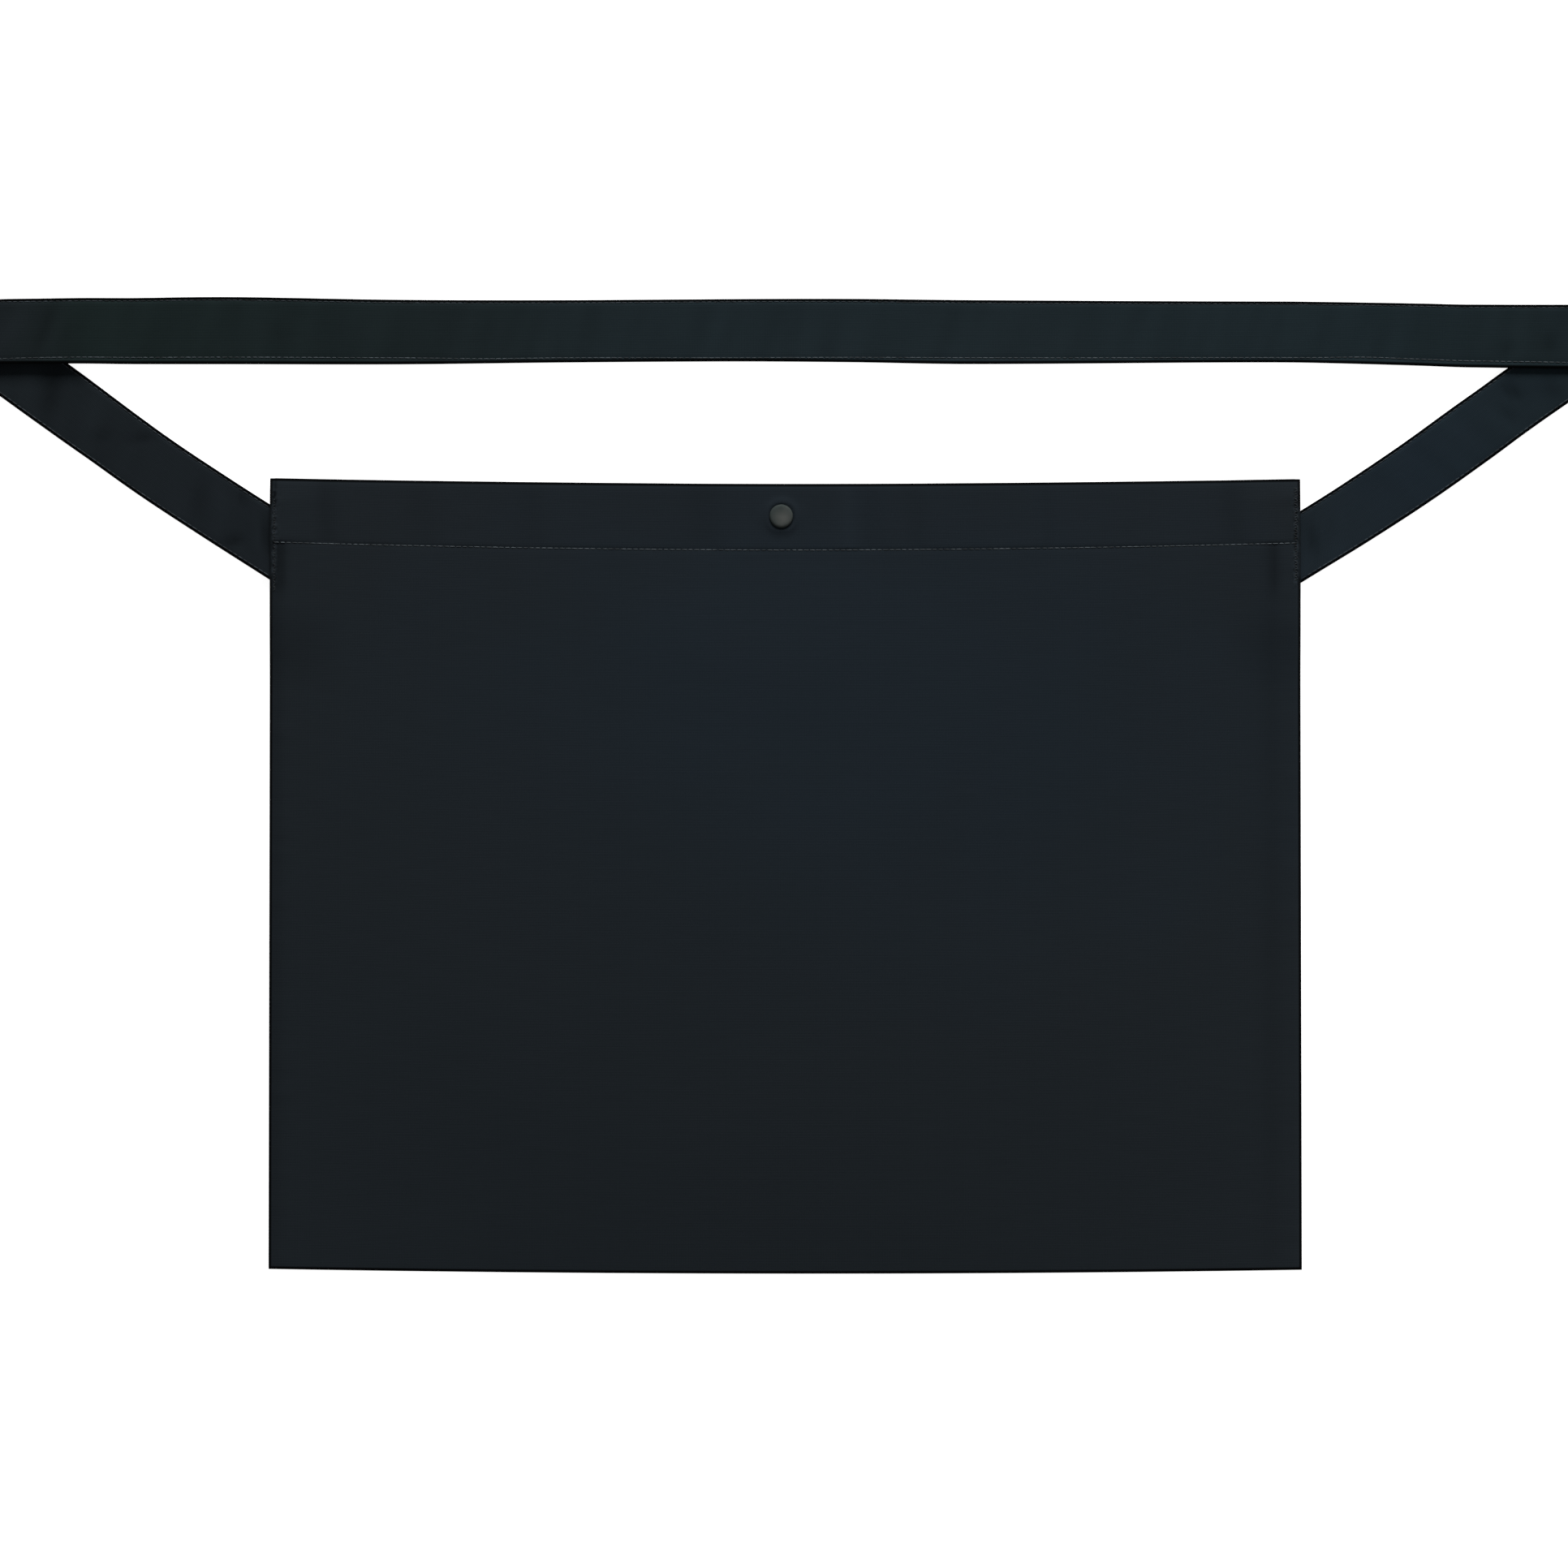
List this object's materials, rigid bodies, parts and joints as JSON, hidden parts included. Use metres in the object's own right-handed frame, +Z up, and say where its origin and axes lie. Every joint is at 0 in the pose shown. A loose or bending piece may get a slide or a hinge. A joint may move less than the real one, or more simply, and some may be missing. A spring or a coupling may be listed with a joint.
{
  "type": "cycling musette bag",
  "caption": "Flat cotton musette shoulder bag with a snap hem and a long sewn-in strap, laid out flat on its back.",
  "frame": {"origin": "on the floor, under the middle of everything that lies there", "axes": "+X across the bag along its mouth, +Y from the bottom seam to the mouth and the strap's top run, +Z up off the floor, out of the front panel"},
  "size_m": [0.656, 0.3842, 0.0108],
  "materials": {
    "panel_cotton": "matte navy-black cotton",
    "strap_cotton": "matte navy-black cotton",
    "cap_paint": "satin grey",
    "snap_steel": "plain"
  },
  "bodies": {
    "root": {"front_panel": "panel_cotton", "back_panel": "panel_cotton", "strap": "strap_cotton", "snap_cap": "cap_paint", "snap_socket": "snap_steel", "snap_stud": "snap_steel"}
  },
  "joints": []
}
